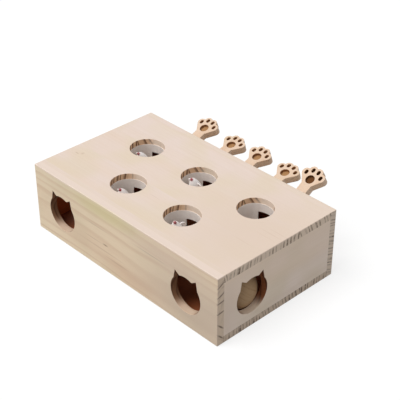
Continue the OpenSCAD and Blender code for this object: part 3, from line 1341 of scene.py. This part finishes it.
@dataclass
class Mouse:
    """One mouse on its post: a smooth moulded figure with felt ears and bead eyes and nose."""

    number: int
    place: MouseFrame
    belly_share: float = 17 / 40
    base_taper: float = 2 * MM
    dome_power: float = 0.75
    foot_round: float = 0.8 * MM
    steps: int = 32
    turns: int = 56
    ear_rim: float = 1.3 * MM
    ear_cup: float = 0.55 * MM
    ear_edge: float = 0.45 * MM
    ear_segments: int = 40
    bead_turns: int = 28
    bead_rings: int = 18
    blush_reach: float = 3.4 * MM
    post_edge: float = 0.5 * MM

    def box(self, piece: Piece) -> tuple[Vector, Vector]:
        """Returns the lowest and highest corners of one CAD piece in the mouse's frame."""
        return self.place.box(mouse_node(piece, self.number))

    def stand(self, shape: BMesh) -> None:
        """Moves a bmesh from the mouse's frame into the toy's."""
        bmesh.ops.transform(shape, matrix=self.place.to_toy(), verts=shape.verts)

    def settle_piece(self, shape: BMesh, piece: Piece, made: str, material: Material) -> None:
        """Settles one piece of the mouse on its lever, under a name that says how it was made."""
        node = mouse_node(piece, self.number)
        settle(shape, f"{made}_{self.number}", [material], f"lever_{self.number}", node)

    def radius(self, share: float, widest: float) -> float:
        """Finds the figure's radius.

        Args:
            share: Height as a share of the figure's height.
            widest: Radius at the belly.

        Returns:
            The radius there.
        """
        if share > self.belly_share:
            up = (share - self.belly_share) / (1 - self.belly_share)
            return widest * max(0.0, 1 - up * up) ** self.dome_power
        return widest - self.base_taper * (1 - share / self.belly_share) ** 2

    def build_figure(self, material: Material) -> None:
        """Spins the figure from its outline and paints the blush round its nose.

        Args:
            material: The vinyl.
        """
        low, high = self.box(Piece.BODY)
        tall = high.z - low.z
        widest = (high.x - low.x) / 2
        shares = [math.sin(math.pi / 2 * k / self.steps) for k in range(self.steps + 1)]
        outline = [(0.0, 0.0)] + [(self.radius(share, widest), share * tall) for share in shares]
        shape = spun(outline, self.turns)
        ease(shape, real_edges(shape), self.foot_round, segments=3)
        nose_low, nose_high = self.box(Piece.NOSE)
        nose = (nose_low + nose_high) / 2
        blush = shape.verts.layers.float.new("blush")
        for vert in shape.verts:
            vert[blush] = max(0.0, 1 - (vert.co - nose).length / self.blush_reach)
        self.stand(shape)
        self.settle_piece(shape, Piece.BODY, "moulded_mouse", material)

    def build_ears(self, material: Material) -> None:
        """Cuts two felt discs, cups their fronts and rounds their edges.

        Args:
            material: The felt.
        """
        low, high = self.box(Piece.EARS)
        radius = (high.z - low.z) / 2
        middle = (low + high) / 2
        aside = high.x - middle.x - radius
        shape = bmesh.new()
        for side in (-1, 1):
            place = Matrix.Translation((middle.x + side * aside, middle.y, middle.z))
            made = bmesh.ops.create_cone(
                shape,
                cap_ends=True,
                segments=self.ear_segments,
                radius1=radius,
                radius2=radius,
                depth=high.y - low.y,
                matrix=place @ Matrix.Rotation(math.pi / 2, 4, "X"),
            )
            faces = {f for v in made["verts"] for f in v.link_faces}
            front = min(faces, key=lambda f: f.calc_center_median().y)
            bmesh.ops.inset_region(shape, faces=[front], thickness=self.ear_rim, depth=0.0)
            bmesh.ops.inset_region(shape, faces=[front], thickness=self.ear_rim / 2, depth=-self.ear_cup)
        ease(shape, real_edges(shape), self.ear_edge, segments=3)
        self.stand(shape)
        self.settle_piece(shape, Piece.EARS, "felt_ears", material)

    def build_beads(self, piece: Piece, material: Material) -> None:
        """Sets round beads where the CAD node has them, one or a pair.

        Args:
            piece: Eyes or nose.
            material: The lacquer.
        """
        low, high = self.box(piece)
        radius = (high.z - low.z) / 2
        middle = (low + high) / 2
        # A single bead is not aside at all, so that its two places are one
        aside = round(high.x - middle.x - radius, 6)
        shape = bmesh.new()
        for x in sorted({-aside, aside}):
            bmesh.ops.create_uvsphere(
                shape,
                u_segments=self.bead_turns,
                v_segments=self.bead_rings,
                radius=radius,
                matrix=Matrix.Translation((middle.x + x, middle.y, middle.z)),
            )
        self.stand(shape)
        self.settle_piece(shape, piece, f"lacquered_{piece.value}", material)

    def build_post(self, material: Material) -> None:
        """Builds the dowel post with its ends broken.

        Args:
            material: The birch.
        """
        shape = merged_copy(mouse_node(Piece.POST, self.number))
        ease(shape, real_edges(shape), self.post_edge)
        self.settle_piece(shape, Piece.POST, "dowel_post", material)


@dataclass
class Mice:
    """The five levers with their mice, and the finishes that they share."""

    figure: Moulded = Moulded("moulded matt vinyl mouse", "#FBF7F5", "#F4EEEC", (0.5, 0.62), blush="#DE9496")
    felt: Felt = Felt("pressed white felt", "#F6EFEC", "#EADFDA")
    eye: Bead = Bead("black lacquered bead", "#0B0A0A", "#1A1716")
    nose: Bead = Bead("red lacquered bead", "#8A2A33", "#A63A42")
    post_wood: Wood = Wood(
        "turned birch post",
        Grain.ALONG_Y,
        pith_mm=(0, 0, 20),
        ring_mm=3,
        face="#E6CFAE",
        tint="#E0C49C",
        figure=0.2,
    )
    # The last paw's prints are burnt darker than the others; the pads' walls are darker than their floors,
    # burn and painted shade together
    pads: tuple[PrintTone, ...] = (PrintTone("#B2875C", "#7A4E2C"),) * 4 + (PrintTone("#6E4626", "#4A2A14"),)
    toes: tuple[PrintTone, ...] = (PrintTone("#8A5E38", "#A87A50"),) * 4 + (PrintTone("#4E2E16", "#6A4222"),)

    def build(self) -> None:
        """Builds each lever and its mouse."""
        finishes = (self.figure, self.felt, self.eye, self.nose, self.post_wood)
        figure, felt, eye, nose, post = [finish.material() for finish in finishes]
        for number, pad, toe in zip(LEVERS, self.pads, self.toes):
            place = lever_frame(number)
            PawLever(number, place, pad, toe).build()
            mouse = Mouse(number, mouse_frame(number, place))
            mouse.build_figure(figure)
            mouse.build_ears(felt)
            mouse.build_beads(Piece.EYES, eye)
            mouse.build_beads(Piece.NOSE, nose)
            mouse.build_post(post)


@dataclass
class Ball:
    """The loose ball: turned wood with a small lathe mark at each end of its spindle."""

    steps: int = 48
    turns: int = 72
    mark_radius: float = 1.6 * MM
    mark_depth: float = 0.5 * MM
    wood: Wood = Wood(
        "turned beech ball",
        Grain.ALONG_X,
        pith_mm=(0, 160, 300),
        ring_mm=5,
        face="#B09474",
        tint="#A88A68",
        face_late="#947652",
        end="#A88A68",
        end_late="#94744F",
    )

    def build(self) -> None:
        """Spins the ball from a half round and sets it where the CAD ball lies."""
        low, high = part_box("ball")
        radius = (high.z - low.z) / 2
        start = math.asin(self.mark_radius / radius)
        sweep = math.pi - 2 * start
        angles = [start + sweep * k / self.steps for k in range(self.steps + 1)]
        half_round = [(radius * math.sin(angle), -radius * math.cos(angle)) for angle in angles]
        mark_floor = radius - self.mark_depth
        shape = spun([(0.0, -mark_floor), *half_round, (0.0, mark_floor)], self.turns)
        lying = Matrix.Translation((low + high) / 2) @ Matrix.Rotation(math.pi / 2, 4, "Y")
        bmesh.ops.transform(shape, matrix=lying, verts=shape.verts)
        settle(shape, "turned_ball", [self.wood.material()], Body.BALL.value, "ball")


@dataclass
class Studio:
    """A pale floor, soft light from above the front, and a camera at the photograph's angle."""

    lens_mm: float = 97.15
    sensor_mm: float = 36.0
    azimuth: float = math.radians(46.368)
    elevation: float = math.radians(33.252)
    distance: float = 1375.4 * MM
    target_mm: Place = (-13.409, 45.547, 47.5)
    floor_size: float = 12.0
    floor_drop: float = 0.2 * MM
    paper: Paper = Paper()
    sky: float = 0.5
    sun: float = 1.95
    sun_from: Place = (-0.2, -0.43, 0.88)
    sun_angle: float = math.radians(38)

    def build_camera(self) -> None:
        """Places the camera."""
        data = bpy.data.cameras.new("photo_camera")
        data.lens = self.lens_mm
        data.sensor_width = self.sensor_mm
        camera = put_in_scene("photo_camera", data)
        level = math.cos(self.elevation)
        across = math.sin(self.azimuth) * level
        back = Vector((across, -math.cos(self.azimuth) * level, math.sin(self.elevation)))
        camera.location = Vector(self.target_mm) * MM + self.distance * back
        camera.rotation_euler = back.to_track_quat("Z", "Y").to_euler()
        bpy.context.scene.camera = camera

    def build_world(self) -> None:
        """Makes an even sky that looks white and lights the toy softly."""
        world = bpy.data.worlds.new("studio")
        world.use_nodes = True
        tree = world.node_tree
        tree.nodes.clear()
        light = add_node(tree, "Background", {"Color": grey(1), "Strength": self.sky})
        white = add_node(tree, "Background", {"Color": grey(1), "Strength": 1.0})
        mixed = add_node(tree, "MixShader", (seen_directly(tree), light, white))
        add_node(tree, "OutputWorld", {"Surface": mixed})
        bpy.context.scene.world = world

    def build_floor(self) -> None:
        """Lays the paper floor just under the toy."""
        shape = bmesh.new()
        under = Matrix.Translation((0, 0, -self.floor_drop))
        bmesh.ops.create_grid(shape, x_segments=1, y_segments=1, size=self.floor_size / 2, matrix=under)
        mesh = bpy.data.meshes.new("studio_floor")
        shape.to_mesh(mesh)
        shape.free()
        mesh.materials.append(self.paper.material())
        put_in_scene("studio_floor", mesh)

    def build_lamp(self) -> None:
        """Hangs one wide soft lamp above the front of the toy."""
        data = bpy.data.lights.new("soft_key", "SUN")
        data.energy = self.sun
        data.angle = self.sun_angle
        lamp = put_in_scene("soft_key", data)
        lamp.rotation_euler = Vector(self.sun_from).to_track_quat("Z", "Y").to_euler()

    def build(self) -> None:
        """Builds the camera, sky, floor and lamp."""
        bpy.context.scene.view_settings.view_transform = "Standard"
        self.build_camera()
        self.build_world()
        self.build_floor()
        self.build_lamp()


def write_sizes() -> None:
    """Brings the view layer up to date."""
    bpy.context.view_layer.update()


def main() -> None:
    """Builds the toy's sub-assemblies in order, then the studio."""
    logging.basicConfig(level=logging.INFO, format="%(name)s: %(message)s")
    for part in (Carcass(), PivotRod(), HoleLiners(), Mice(), Ball(), Studio()):
        log.info("building %s", type(part).__name__)
        part.build()
    write_sizes()


if __name__ == "__main__":
    main()
